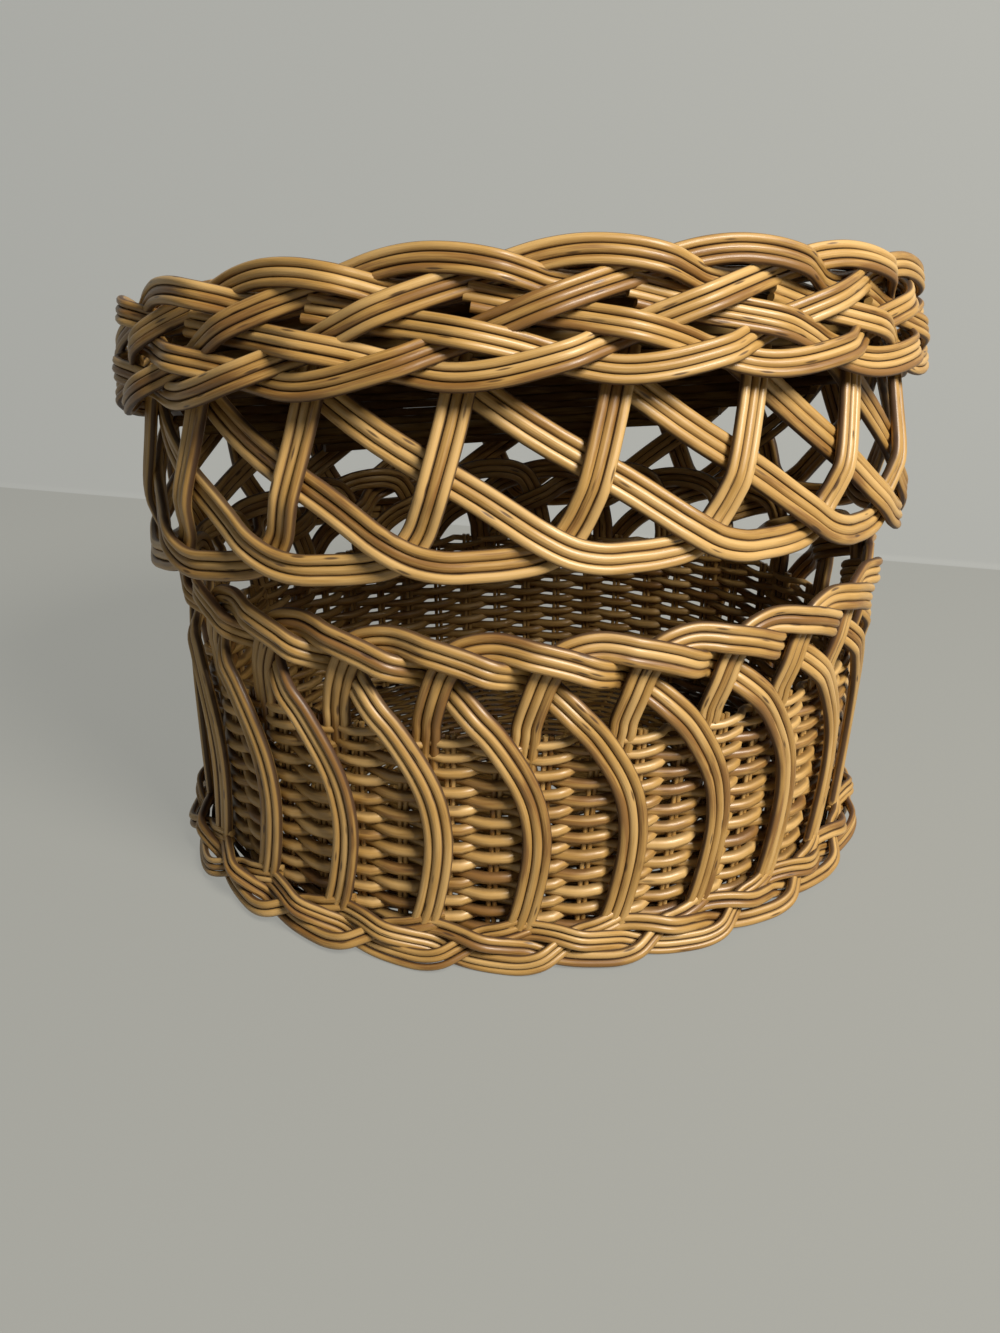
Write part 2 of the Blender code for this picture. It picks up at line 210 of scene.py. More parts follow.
# Path of a bundle of the foot's plait: turns in stake pitches, height as a share of the foot's,
# and layer outwards. It starts behind the end of an arch, runs down and climbs again
FOOT_PATH_SHARE = (
    (-0.12, 0.62, -1.50),
    (0.10, 0.70, -1.10),
    (0.34, 0.715, 0.00),
    (0.60, 0.64, 1.00),
    (0.86, 0.51, 0.10),
    (1.08, 0.365, -1.00),
    (1.28, 0.245, -0.90),
    (1.50, 0.19, -0.40),
    (1.75, 0.18, 0.20),
    (2.00, 0.205, 0.80),
    (2.20, 0.30, 1.00),
    (2.38, 0.43, 0.10),
    (2.58, 0.56, -1.00),
    (2.80, 0.68, -0.70),
    (3.00, 0.77, -0.95),
    (3.14, 0.81, -1.50),
)

# Pieces that each stretch of a path is cut into
BUNDLE_PIECES = 4
BORDER_PIECES = 5

# How a rod of a bundle differs from the next: its lift in pitches, its thickness, and how uneven
# that is along the rod
LIFT_SHARES = (-0.12, 0.18)
BUNDLE_THICKNESS_SHARES = (0.95, 1.04)
BUNDLE_UNEVEN = 0.10

# A woven panel: its rings' pitch and swing in rods, the rings left out in the middle, the share
# of the rings that go round every spoke, and the steps from one spoke to the next
PANEL_SIDES = 6
PANEL_SPOKES = 40
PANEL_THICKNESS_SHARES = (0.95, 1.08)
PANEL_UNEVEN = 0.15
RING_PITCH_SHARE = 1.12
RING_SWING_SHARE = 0.42
RINGS_LEFT_OUT = 4
OUTER_RINGS_SHARE = 0.55
STEPS_PER_SPOKE = 4
SPOKE_PIECES = 10

# Waves per metre of a rod's wobble and swelling, how far its tone moves its seed, and the angle
# past which an edge is sharp, as at a cut end
WOBBLE_SCALE = 22.0
SWELL_SCALE = 60.0
SEED_SPREAD = 9.0
SHARP_ANGLE = math.radians(60)

# Noise swings about this value
NOISE_MIDDLE = 0.5

# Scales of the willow's marks along a rod, across it, and from one rod to the next
LENGTHWAYS_SCALES = (28.0, 0.35, 50.0)
STREAK_SCALES = (60.0, 3.2, 80.0)
SPOT_SCALES = (85.0, 0.9, 60.0)
PATCH_SCALE = 34.0
COARSE_DETAIL = 3.0
STREAK_DETAIL = 4.0
STREAK_ROUGHNESS = 0.6

# How much each mark counts in the tone, and where the tone turns from deep to pale
TONE_BASE = 0.25
TONE_SHARE = 0.40
PATCH_SHARE = 0.30
LENGTHWAYS_SHARE = 1.1
STREAK_SHARE = 0.45
DEEP_STEP = (0.36, 0.58)
PALE_STEP = (0.56, 0.86)

# Dark spots: their edge, which of them are kept, how dark they are and how deep
SPOT_STEP = (0.10, 0.26)
SPOT_KEPT_STEP = (0.45, 0.58)
SPOT_SHUFFLE = 7.31
SPOT_SHARE = 0.8
SPOT_DEPTH_SHARE = 0.5

# Painted shade on a rod's sides, darkest in the seam where it meets its neighbours, with some dark
# varnish there too
SEAM_STEP = (0.68, 0.94)
SEAM_RAGGED_SHARE = 0.16
SEAM_SHARE = 0.9
SEAM_ROUGH_SHARE = 0.25
STREAK_ROUGH_SHARE = 0.30

# The varnish
BUMP_STRENGTH = 0.35
BUMP_DISTANCE = 0.0004
SPECULAR = 0.5
COAT = 0.18
COAT_ROUGHNESS = 0.22

# The photograph's view, worked out from its ovals and bundle pitches
CAMERA_PLACE = (-0.1117, -0.3551, 0.2280)
CAMERA_HEADING = -0.269
CAMERA_PITCH = 0.435
CAMERA_ROLL = 0.020
FOCAL_PIXELS = 1023.0
IMAGE_HEIGHT_PIXELS = 1333.0
SENSOR_MM = 36.0

# The backdrop: how far it stands, its heading, its half size and its fold
BACKDROP_AWAY = 0.3515
BACKDROP_TURN = -0.476
BACKDROP_HALF = 3.0
FOLD_RADIUS = 0.004
FOLD_PIECES = 8

# The share of the paper's brightness that has no shadow, and the light it throws back
EVEN_SHARE = 0.70
BOUNCE_SHARE = 0.60
PAPER_ROUGHNESS = 0.8

# The lamps, which aim at the middle of the basket
LAMP_AIM = (0.0, 0.0, 0.1)
KEY_PLACE = (0.45, -0.86, 0.98)
KEY_SIZE = 0.50
KEY_COLOUR = (1.0, 0.95, 0.87)
FILL_PLACE = (-0.9, -0.4, 0.6)
FILL_SIZE = 0.8
FILL_COLOUR = (0.92, 0.96, 1.0)
SKY_COLOUR = (0.95, 0.97, 1.0, 1.0)

# The direction upwards
UP = Vector((0.0, 0.0, 1.0))


class BasketSizes(bpy.types.PropertyGroup):
    """Sizes of the willow rods."""

    bundle_rod: bpy.props.FloatProperty(
        name="Bundle rod", description="Thickness of a rod in a bundle",
        default=0.0033, min=0.0005, unit="LENGTH")
    bundle_pitch: bpy.props.FloatProperty(
        name="Rod pitch", description="Distance between the rods of a bundle",
        default=0.0030, min=0.0005, unit="LENGTH")
    border_rod: bpy.props.FloatProperty(
        name="Border rod", description="Thickness of a rod in the lid's plaited border",
        default=0.0026, min=0.0005, unit="LENGTH")
    foot_rod: bpy.props.FloatProperty(
        name="Foot rod", description="Thickness of a rod in the foot's plait",
        default=0.0029, min=0.0005, unit="LENGTH")
    weave_rod: bpy.props.FloatProperty(
        name="Weave rod", description="Thickness of a rod of the randed wall",
        default=0.0039, min=0.0005, unit="LENGTH")
    weave_pitch: bpy.props.FloatProperty(
        name="Weave pitch", description="Height of one row of the randed wall",
        default=0.0034, min=0.0005, unit="LENGTH")
    weave_stake: bpy.props.FloatProperty(
        name="Weave stake", description="Thickness of a stake inside the wall",
        default=0.0018, min=0.0005, unit="LENGTH")
    panel_rod: bpy.props.FloatProperty(
        name="Panel rod", description="Thickness of a rod of the base and the lid's top",
        default=0.0024, min=0.0005, unit="LENGTH")
    loop_rod: bpy.props.FloatProperty(
        name="Loop rod", description="Thickness of the rod of a hinge loop",
        default=0.0018, min=0.0005, unit="LENGTH")
    wobble: bpy.props.FloatProperty(
        name="Wobble", description="How far a rod strays from its path",
        default=0.0003, min=0.0, unit="LENGTH")
    sides: bpy.props.IntProperty(
        name="Rod sides", description="Sides of a rod in a bundle", default=10, min=4, max=24)


class BasketFinish(bpy.types.PropertyGroup):
    """Colours and gloss of the varnished willow."""

    pale: bpy.props.FloatVectorProperty(
        name="Pale willow", description="Colour of the palest rods",
        subtype="COLOR", size=4, default=(0.52, 0.325, 0.115, 1.0), min=0.0, max=1.0)
    middle: bpy.props.FloatVectorProperty(
        name="Willow", description="Colour of most rods",
        subtype="COLOR", size=4, default=(0.39, 0.222, 0.059, 1.0), min=0.0, max=1.0)
    deep: bpy.props.FloatVectorProperty(
        name="Deep willow", description="Colour of the darkest stretches",
        subtype="COLOR", size=4, default=(0.215, 0.103, 0.023, 1.0), min=0.0, max=1.0)
    # This colour serves the dark knots, and the painted shade and dark varnish in the seams between
    # rods
    stain_and_seam_shade: bpy.props.FloatVectorProperty(
        name="Stain and seam shade", description="Colour of the dark knots, and of the varnish and painted shade in the seams",
        subtype="COLOR", size=4, default=(0.040, 0.015, 0.005, 1.0), min=0.0, max=1.0)
    gloss: bpy.props.FloatProperty(
        name="Roughness", description="Roughness of the varnish",
        default=0.46, min=0.0, max=1.0, subtype="FACTOR")


class StageSettings(bpy.types.PropertyGroup):
    """Floor and lamps."""

    floor: bpy.props.FloatVectorProperty(
        name="Floor", description="Colour of the floor",
        subtype="COLOR", size=4, default=(0.42, 0.42, 0.385, 1.0), min=0.0, max=1.0)
    backdrop: bpy.props.FloatVectorProperty(
        name="Backdrop", description="Colour of the sheet behind the basket",
        subtype="COLOR", size=4, default=(0.49, 0.495, 0.465, 1.0), min=0.0, max=1.0)
    key_power: bpy.props.FloatProperty(
        name="Key lamp", description="Power of the lamp at the upper right",
        default=28.5, min=0.0, unit="POWER")
    fill_power: bpy.props.FloatProperty(
        name="Fill lamp", description="Power of the lamp at the left",
        default=0.8, min=0.0, unit="POWER")
    sky: bpy.props.FloatProperty(
        name="Sky", description="Strength of the even light from all sides",
        default=0.035, min=0.0)


class Oval:
    """The stake oval, read by the share of the way round it, from the front and towards +X."""

    STEPS = 720

    def __init__(self, half_width, half_depth):
        self.half_width = half_width
        self.half_depth = half_depth
        self.angles = [2 * math.pi * i / self.STEPS - math.pi / 2 for i in range(self.STEPS + 1)]
        self.lengths = [0.0]
        last = self.at_angle(self.angles[0])
        for angle in self.angles[1:]:
            point = self.at_angle(angle)
            self.lengths.append(self.lengths[-1] + (point - last).length)
            last = point
        self.around = self.lengths[-1]

    def at_angle(self, angle):
        return Vector((self.half_width * math.cos(angle), self.half_depth * math.sin(angle), 0.0))

    def angle_of(self, share):
        """Angle at a share of the way round, measured along the oval."""
        target = (share % 1.0) * self.around
        low, high = 0, self.STEPS
        while high - low > 1:
            middle = (low + high) // 2
            if self.lengths[middle] <= target:
                low = middle
            else:
                high = middle
        part = (target - self.lengths[low]) / (self.lengths[high] - self.lengths[low])
        return self.angles[low] + part * (self.angles[high] - self.angles[low])

    def frame(self, share):
        """Point on the oval and the direction outwards."""
        angle = self.angle_of(share)
        along = Vector((-self.half_width * math.sin(angle), self.half_depth * math.cos(angle), 0.0))
        along.normalize()
        return self.at_angle(angle), Vector((along.y, -along.x, 0.0))

    def place(self, share, height, offset):
        """A point above the oval, an offset outwards from it."""
        point, outward = self.frame(share)
        return point + outward * offset + UP * height


OVAL = Oval(STAKE_HALF_WIDTH, STAKE_HALF_DEPTH)
LID_SEAT = Vector((0.0, 0.0, HINGE.z + HINGE_DROP))
LID_TURN = Matrix.Rotation(LID_OPENING, 3, HINGE_AXIS)


def on_lid(point):
    """A place on the closed lid, with its height measured from the lid's foot, put where the lid is."""
    return HINGE + LID_TURN @ (point + LID_SEAT - HINGE)


def catmull(t, before, start, end, after):
    """A value on the smooth curve from start to end, at the share t of the way."""
    return 0.5 * (2 * start + (end - before) * t
                  + (2 * before - 5 * start + 4 * end - after) * t * t
                  + (3 * start - before - 3 * end + after) * t ** 3)


def smooth_rows(rows, pieces):
    """Rows of a curve through the given rows, each stretch cut into pieces."""
    first = [2 * a - b for a, b in zip(rows[0], rows[1])]
    last = [2 * a - b for a, b in zip(rows[-1], rows[-2])]
    ends = [first, *rows, last]
    curve = []
    for i in range(1, len(ends) - 2):
        for j in range(pieces):
            t = j / pieces
            curve.append([catmull(t, *(ends[i + k][axis] for k in (-1, 0, 1, 2)))
                          for axis in range(len(rows[0]))])
    curve.append(list(rows[-1]))
    return curve


class Rod:
    """One willow rod: its points, the direction to its neighbours, its thickness and its tone."""

    def __init__(self, points, across, thickness, tone, closed=False):
        self.points = points
        self.across = across
        self.thickness = thickness
        self.tone = tone
        self.closed = closed


def directions(centres, outwards):
    """Direction across a flat bundle at each of its points, and its face's direction."""
    across = []
    faces = []
    last = len(centres) - 1
    for i, outward in enumerate(outwards):
        along = (centres[min(i + 1, last)] - centres[max(i - 1, 0)]).normalized()
        face = (outward - along * outward.dot(along)).normalized()
        faces.append(face)
        across.append(face.cross(along))
    return across, faces


def bundle(centres, outwards, chance, pitch, thickness, stagger, count=3):
    """The rods of a bundle side by side along its middle line, each a little off its place."""
    across, faces = directions(centres, outwards)
    rods = []
    for number in range(count):
        place = (number - (count - 1) / 2) * pitch
        lift = chance.uniform(*LIFT_SHARES) * pitch
        thick = thickness * chance.uniform(*BUNDLE_THICKNESS_SHARES)
        points = [c + a * place + f * lift for c, a, f in zip(centres, across, faces)]
        start = (points[0] - points[1]).normalized()
        end = (points[-1] - points[-2]).normalized()
        points[0] = points[0] + start * chance.uniform(0.0, stagger)
        points[-1] = points[-1] + end * chance.uniform(0.0, stagger)
        rods.append(Rod(points, across, thick, chance.random()))
    return rods


def new_group(name, kind, inputs, outputs):
    """A node group with its named sockets, and the ends from which it is wired."""
    group = bpy.data.node_groups.new(name, kind)
    for direction, sockets in (("INPUT", inputs), ("OUTPUT", outputs)):
        for label, socket in sockets:
            group.interface.new_socket(name=label, in_out=direction, socket_type=socket)
    entry = group.nodes.new("NodeGroupInput").outputs
    result = group.nodes.new("NodeGroupOutput").inputs
    return group, entry, result


def math_node(nodes, links, operation, first, second=None, clamp=False):
    """One step of arithmetic on numbers or sockets, in a tree of either kind."""
    node = nodes.new("ShaderNodeMath")
    node.operation = operation
    node.use_clamp = clamp
    for socket, value in zip(node.inputs, (first, second)):
        if value is None:
            continue
        if isinstance(value, (int, float)):
            socket.default_value = value
        else:
            links.new(value, socket)
    return node.outputs[0]


def rod_tree():
    """Geometry nodes that turn edges into willow rods with a little wobble and uneven thickness."""
    group, entry, result = new_group(
        "willow_rods", "GeometryNodeTree",
        (("Geometry", "NodeSocketGeometry"), ("Sides", "NodeSocketInt"),
         ("Wobble", "NodeSocketFloat"), ("Wobble scale", "NodeSocketFloat"),
         ("Uneven", "NodeSocketFloat"), ("Seed", "NodeSocketFloat"),
         ("Material", "NodeSocketMaterial")),
        (("Geometry", "NodeSocketGeometry"),))
    nodes = group.nodes
    links = group.links

    def read(name, kind):
        node = nodes.new("GeometryNodeInputNamedAttribute")
        node.data_type = kind
        node.inputs["Name"].default_value = name
        return node.outputs["Attribute"]

    def calc(operation, first, second):
        return math_node(nodes, links, operation, first, second)

    def vector_node(operation, first, second, output="Vector"):
        node = nodes.new("ShaderNodeVectorMath")
        node.operation = operation
        for socket, value in zip(node.inputs, (first, second)):
            if isinstance(value, tuple):
                socket.default_value = value
            else:
                links.new(value, socket)
        return node.outputs[output]

    def noise(scale, seed):
        node = nodes.new("ShaderNodeTexNoise")
        node.noise_dimensions = "4D"
        node.inputs["Detail"].default_value = 1.0
        links.new(seed, node.inputs["W"])
        if isinstance(scale, float):
            node.inputs["Scale"].default_value = scale
        else:
            links.new(scale, node.inputs["Scale"])
        return node

    tone = read("rod_tone", "FLOAT")
    curve = nodes.new("GeometryNodeMeshToCurve")
    links.new(entry["Geometry"], curve.inputs["Mesh"])

    own_seed = calc("ADD", entry["Seed"], calc("MULTIPLY", tone, SEED_SPREAD))
    drift = noise(entry["Wobble scale"], own_seed)
    shift = vector_node("SUBTRACT", drift.outputs["Color"], (NOISE_MIDDLE,) * 3)
    scale = nodes.new("ShaderNodeVectorMath")
    scale.operation = "SCALE"
    links.new(shift, scale.inputs[0])
    links.new(calc("DIVIDE", entry["Wobble"], NOISE_MIDDLE), scale.inputs["Scale"])
    move = nodes.new("GeometryNodeSetPosition")
    links.new(curve.outputs["Curve"], move.inputs["Geometry"])
    links.new(scale.outputs[0], move.inputs["Offset"])

    swell = noise(SWELL_SCALE, own_seed)
    part = calc("MULTIPLY", calc("SUBTRACT", swell.outputs["Fac"], NOISE_MIDDLE), entry["Uneven"])
    radius = calc("MULTIPLY", read("rod_radius", "FLOAT"), calc("ADD", part, 1.0))

    spline = nodes.new("GeometryNodeSplineParameter")
    keep = nodes.new("GeometryNodeStoreNamedAttribute")
    keep.data_type = "FLOAT"
    keep.domain = "POINT"
    keep.inputs["Name"].default_value = "rod_along"
    links.new(move.outputs["Geometry"], keep.inputs["Geometry"])
    links.new(spline.outputs["Length"], keep.inputs["Value"])

    ring = nodes.new("GeometryNodeCurvePrimitiveCircle")
    ring.mode = "RADIUS"
    ring.inputs["Radius"].default_value = 1.0
    links.new(entry["Sides"], ring.inputs["Resolution"])
    skin = nodes.new("GeometryNodeCurveToMesh")
    skin.inputs["Fill Caps"].default_value = True
    links.new(keep.outputs["Geometry"], skin.inputs["Curve"])
    links.new(ring.outputs["Curve"], skin.inputs["Profile Curve"])
    links.new(radius, skin.inputs["Scale"])

    normal = nodes.new("GeometryNodeInputNormal")
    side = vector_node("DOT_PRODUCT", normal.outputs["Normal"],
                       vector_node("NORMALIZE", read("rod_across", "FLOAT_VECTOR"), (0.0, 0.0, 0.0)),
                       "Value")
    mark = nodes.new("GeometryNodeStoreNamedAttribute")
    mark.data_type = "FLOAT"
    mark.domain = "POINT"
    mark.inputs["Name"].default_value = "rod_side"
    links.new(skin.outputs["Mesh"], mark.inputs["Geometry"])
    links.new(side, mark.inputs["Value"])

    real = nodes.new("GeometryNodeRealizeInstances")
    links.new(mark.outputs["Geometry"], real.inputs["Geometry"])
    paint = nodes.new("GeometryNodeSetMaterial")
    links.new(real.outputs["Geometry"], paint.inputs["Geometry"])
    links.new(entry["Material"], paint.inputs["Material"])
    links.new(paint.outputs["Geometry"], result["Geometry"])
    return group


def tree_once(name, make):
    """The node group of this name, made when it is first asked for."""
    return bpy.data.node_groups.get(name) or make()


def set_input(modifier, name, value):
    """Set one of the modifier's named inputs by its identifier."""
    for item in modifier.node_group.interface.items_tree:
        if item.item_type == "SOCKET" and item.in_out == "INPUT" and item.name == name:
            modifier[item.identifier] = value
            return
    raise KeyError(name)


def weave_piece(name, rods, material, body, nodes, sides, wobble, seed,
                uneven=BUNDLE_UNEVEN):
    """One plain mesh of rods, which rides on a body and stands for nodes of the frame."""
    vertices = []
    edges = []
    radii = []
    tones = []
    acrosses = []
    for rod in rods:
        start = len(vertices)
        count = len(rod.points)
        vertices += [tuple(p) for p in rod.points]
        edges += [(start + i, start + i + 1) for i in range(count - 1)]
        if rod.closed:
            edges.append((start + count - 1, start))
        radii += [rod.thickness / 2] * count
        tones += [rod.tone] * count
        for across in rod.across:
            acrosses += list(across)
    lines = bpy.data.meshes.new(name)
    lines.from_pydata(vertices, edges, [])
    lines.attributes.new("rod_radius", "FLOAT", "POINT").data.foreach_set("value", radii)
    lines.attributes.new("rod_tone", "FLOAT", "POINT").data.foreach_set("value", tones)
    lines.attributes.new("rod_across", "FLOAT_VECTOR", "POINT").data.foreach_set("vector", acrosses)
    guide = bpy.data.objects.new(name, lines)
    bpy.context.scene.collection.objects.link(guide)
    modifier = guide.modifiers.new("rods", "NODES")
    modifier.node_group = tree_once("willow_rods", rod_tree)
    set_input(modifier, "Sides", sides)
    set_input(modifier, "Wobble", wobble)
    set_input(modifier, "Wobble scale", WOBBLE_SCALE)
    set_input(modifier, "Uneven", uneven)
    set_input(modifier, "Seed", float(seed))
    set_input(modifier, "Material", material)
    graph = bpy.context.evaluated_depsgraph_get()
    mesh = bpy.data.meshes.new_from_object(guide.evaluated_get(graph))
    mesh.name = name
    bpy.data.objects.remove(guide, do_unlink=True)
    piece = bpy.data.objects.new(name, mesh)
    bpy.context.scene.collection.objects.link(piece)
    if not mesh.polygons:
        raise RuntimeError(f"{name} has no faces")
    mesh.shade_smooth()
    mesh.set_sharp_from_angle(angle=SHARP_ANGLE)
    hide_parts(*nodes)
    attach(piece, body)


def shader_mix(nodes, links, factor, first, second):
    """The first colour, and the second where the factor is 1."""
    node = nodes.new("ShaderNodeMix")
    node.data_type = "RGBA"
    for socket, value in ((node.inputs[0], factor), (node.inputs[6], first), (node.inputs[7], second)):
        if isinstance(value, (tuple, float, int)):
            socket.default_value = value
        else:
            links.new(value, socket)
    return node.outputs[2]


def smooth_step(nodes, links, value, ends):
    """0 below the first end, 1 above the second, and a soft rise between them."""
    node = nodes.new("ShaderNodeMapRange")
    node.interpolation_type = "SMOOTHSTEP"
    links.new(value, node.inputs["Value"])
    node.inputs["From Min"].default_value = ends[0]
    node.inputs["From Max"].default_value = ends[1]
    return node.outputs["Result"]


def willow_grain():
    """Shader group: colour, roughness and height of varnished willow, from a rod's own marks and
    painted shade in its seams.
    """
    group, entry, result = new_group(
        "willow_grain", "ShaderNodeTree",
        (("Pale", "NodeSocketColor"), ("Middle", "NodeSocketColor"),
         ("Deep", "NodeSocketColor"), ("Stain and seam shade", "NodeSocketColor"),
         ("Seam", "NodeSocketFloat"), ("Specks", "NodeSocketFloat"),
         ("Tone shift", "NodeSocketFloat"), ("Gloss", "NodeSocketFloat")),
        (("Color", "NodeSocketColor"), ("Roughness", "NodeSocketFloat"),
         ("Height", "NodeSocketFloat")))
    nodes = group.nodes
    links = group.links

    def attribute(name):
        node = nodes.new("ShaderNodeAttribute")
        node.attribute_name = name
        return node.outputs["Fac"]

    def calc(operation, first, second=None, clamp=False):
        return math_node(nodes, links, operation, first, second, clamp)

    tone = attribute("rod_tone")
    along = attribute("rod_along")
    side = attribute("rod_side")
    place = nodes.new("ShaderNodeTexCoord").outputs["Object"]

    def rod_coordinates(scales):
        """A place on a rod: along it, across it, and which rod it is."""
        node = nodes.new("ShaderNodeCombineXYZ")
        for value, scale, socket in zip((along, side, tone), scales, node.inputs):
            links.new(calc("MULTIPLY", value, scale), socket)
        return node.outputs[0]

    def noise(place, scale, detail):
        node = nodes.new("ShaderNodeTexNoise")
        links.new(place, node.inputs["Vector"])
        node.inputs["Scale"].default_value = scale
        node.inputs["Detail"].default_value = detail
        return node

    def swing(value, share):
        """A share of how far a noise is from its middle."""
        return calc("MULTIPLY", calc("SUBTRACT", value, NOISE_MIDDLE), share)

    def step(value, ends):
        return smooth_step(nodes, links, value, ends)

    def mix(factor, first, second):
        return shader_mix(nodes, links, factor, first, second)

    patch = noise(place, PATCH_SCALE, COARSE_DETAIL).outputs["Fac"]
    lengthways = noise(rod_coordinates(LENGTHWAYS_SCALES), 1.0, COARSE_DETAIL).outputs["Fac"]
    streaks = noise(rod_coordinates(STREAK_SCALES), 1.0, STREAK_DETAIL)
    streaks.inputs["Roughness"].default_value = STREAK_ROUGHNESS
    streak = streaks.outputs["Fac"]

    level = calc("ADD", calc("MULTIPLY", tone, TONE_SHARE), calc("MULTIPLY", patch, PATCH_SHARE))
    level = calc("ADD", level, swing(lengthways, LENGTHWAYS_SHARE))
    level = calc("ADD", level, TONE_BASE)
    level = calc("ADD", level, swing(streak, STREAK_SHARE))
    level = calc("ADD", level, entry["Tone shift"])
    colour = mix(step(level, DEEP_STEP), entry["Deep"], entry["Middle"])
    colour = mix(step(level, PALE_STEP), colour, entry["Pale"])

    spots = nodes.new("ShaderNodeTexVoronoi")
    links.new(rod_coordinates(SPOT_SCALES), spots.inputs["Vector"])
    spots.inputs["Scale"].default_value = 1.0
    spot = calc("SUBTRACT", 1.0, step(spots.outputs["Distance"], SPOT_STEP))
    shuffled = calc("FRACT", calc("MULTIPLY", spots.outputs["Color"], SPOT_SHUFFLE))
    spot = calc("MULTIPLY", spot, step(shuffled, SPOT_KEPT_STEP))
    spot = calc("MULTIPLY", spot, entry["Specks"], True)
    colour = mix(calc("MULTIPLY", spot, SPOT_SHARE), colour, entry["Stain and seam shade"])

    # Painted shade at the rods' sides where they meet, mixed with some dark varnish
    ragged = calc("ADD", calc("ABSOLUTE", side), swing(streak, SEAM_RAGGED_SHARE))
    seam = calc("MULTIPLY", step(ragged, SEAM_STEP), entry["Seam"], True)
    colour = mix(calc("MULTIPLY", seam, SEAM_SHARE), colour, entry["Stain and seam shade"])

    rough = calc("ADD", entry["Gloss"], swing(streak, STREAK_ROUGH_SHARE))
    rough = calc("ADD", rough, calc("MULTIPLY", seam, SEAM_ROUGH_SHARE), True)
    height = calc("SUBTRACT", streak, calc("MULTIPLY", spot, SPOT_DEPTH_SHARE))
    links.new(colour, result["Color"])
    links.new(rough, result["Roughness"])
    links.new(height, result["Height"])
    return group


def willow_material(name, finish, seam=1.0, specks=1.0, tone_shift=0.0, darken=1.0, shine=1.0):
    """Varnished willow. A shift up is paler, and darken and shine are shares of the full look."""
    material = bpy.data.materials.new(name)
    material.use_nodes = True
    nodes = material.node_tree.nodes
    links = material.node_tree.links
    shader = nodes["Principled BSDF"]
    grain = nodes.new("ShaderNodeGroup")
    grain.node_tree = tree_once("willow_grain", willow_grain)
    for socket, colour in (("Pale", finish.pale), ("Middle", finish.middle),
                           ("Deep", finish.deep), ("Stain and seam shade", finish.stain_and_seam_shade)):
        tint = 1.0 if socket == "Stain and seam shade" else darken
        grain.inputs[socket].default_value = (*(c * tint for c in colour[:3]), 1.0)
    grain.inputs["Seam"].default_value = seam
    grain.inputs["Specks"].default_value = specks
    grain.inputs["Tone shift"].default_value = tone_shift
    grain.inputs["Gloss"].default_value = finish.gloss
    bump = nodes.new("ShaderNodeBump")
    bump.inputs["Strength"].default_value = BUMP_STRENGTH
    bump.inputs["Distance"].default_value = BUMP_DISTANCE
    links.new(grain.outputs["Color"], shader.inputs["Base Color"])
    links.new(grain.outputs["Roughness"], shader.inputs["Roughness"])
    links.new(grain.outputs["Height"], bump.inputs["Height"])
    links.new(bump.outputs["Normal"], shader.inputs["Normal"])
    shader.inputs["Specular IOR Level"].default_value = SPECULAR * shine
    shader.inputs["Coat Weight"].default_value = COAT * shine
    shader.inputs["Coat Roughness"].default_value = COAT_ROUGHNESS
    return material


def material_once(name, **looks):
    """The willow of this name, made when it is first asked for."""
    return bpy.data.materials.get(name) or willow_material(
        name, bpy.context.scene.basket_finish, **looks)


def bundle_material():
    return material_once("varnished_bundle_willow")


def weave_material():
    # seam sets how much painted shade, with some dark varnish, goes into the seams between rods
    return material_once("varnished_weave_willow", seam=0.55, specks=0.6, tone_shift=0.05)


# The panels are darkened and shifted deeper in tone as painted shade, for the shaded insides of the
# basket and lid
def panel_material():
    return material_once("panel_willow_darkened_as_shade", seam=0.7, specks=0.5, tone_shift=-0.12,
                         darken=0.42, shine=0.2)


def loop_material():
    return material_once("brown_loop_willow", seam=0.0, tone_shift=-0.2, darken=0.45)


def centre_line(rows, place, phase, count, index):
    """Centres and outward directions of a bundle whose rows are turns, heights and offsets."""
    centres = []
    outwards = []
    for turn, height, offset in rows:
        share = (index + turn - phase) / count
        centres.append(place(share, height, offset))
        outwards.append(OVAL.frame(share)[1])
    return centres, outwards


def stake_rows():
    """The path of a stake bundle, over the rim and down its arch to the foot."""
    rows = [(turn, WALL_TOP + GAP + share * (RIM_RISE - GAP), layer * LAYER)
            for turn, share, layer in RIM_PATH_SHARE]
    low = 2 * GAP + FOOT_HEIGHT
    rows += [(turn, low + share * (WALL_TOP - low), ARCH_OFFSET_SHARE * LAYER)
             for turn, share in ARCH_PATH_SHARE]
    return smooth_rows(rows, BUNDLE_PIECES)


def gallery_offset(height):
    """How far the gallery stands off the oval, less towards its top."""
    share = (height - GALLERY_STRAIGHT) / (GALLERY_TOP - GALLERY_STRAIGHT)
    share = max(0.0, min(1.0, share))
    return GALLERY_OFFSET + (GALLERY_TOP_OFFSET - GALLERY_OFFSET) * share


def gallery_rows():
    """The path of a gallery bundle, down from the border, round its loop and up again."""
    rows = []
    for turn, share, layer in GALLERY_PATH_SHARE:
        height = share * GALLERY_HEIGHT
        rows.append((turn, height, gallery_offset(height) + layer * LAYER))
    return smooth_rows(rows, BUNDLE_PIECES)


class BASKET_OT_stake_bundles(bpy.types.Operator):
    """Three rods for each stake bundle, over the scalloped rim and down its arch"""

    bl_idname = "basket.stake_bundles"
    bl_label = "Stake bundles"

    CHANCE_SEED = 11
    STAGGER = 0.0015

    def execute(self, context):
        sizes = context.scene.basket_sizes
        chance = random.Random(self.CHANCE_SEED)
        rows = stake_rows()
        for index in range(STAKE_COUNT):
            centres, outwards = centre_line(rows, OVAL.place, STAKE_PHASE_SHARE, STAKE_COUNT, index)
            rods = bundle(centres, outwards, chance, sizes.bundle_pitch, sizes.bundle_rod,
                          self.STAGGER)
            weave_piece(f"stake_rods_{index + 1:02d}", rods, bundle_material(), "basket",
                        [f"stake_bundle_{index + 1:02d}"], sizes.sides,
                        sizes.wobble, index)
        return {"FINISHED"}


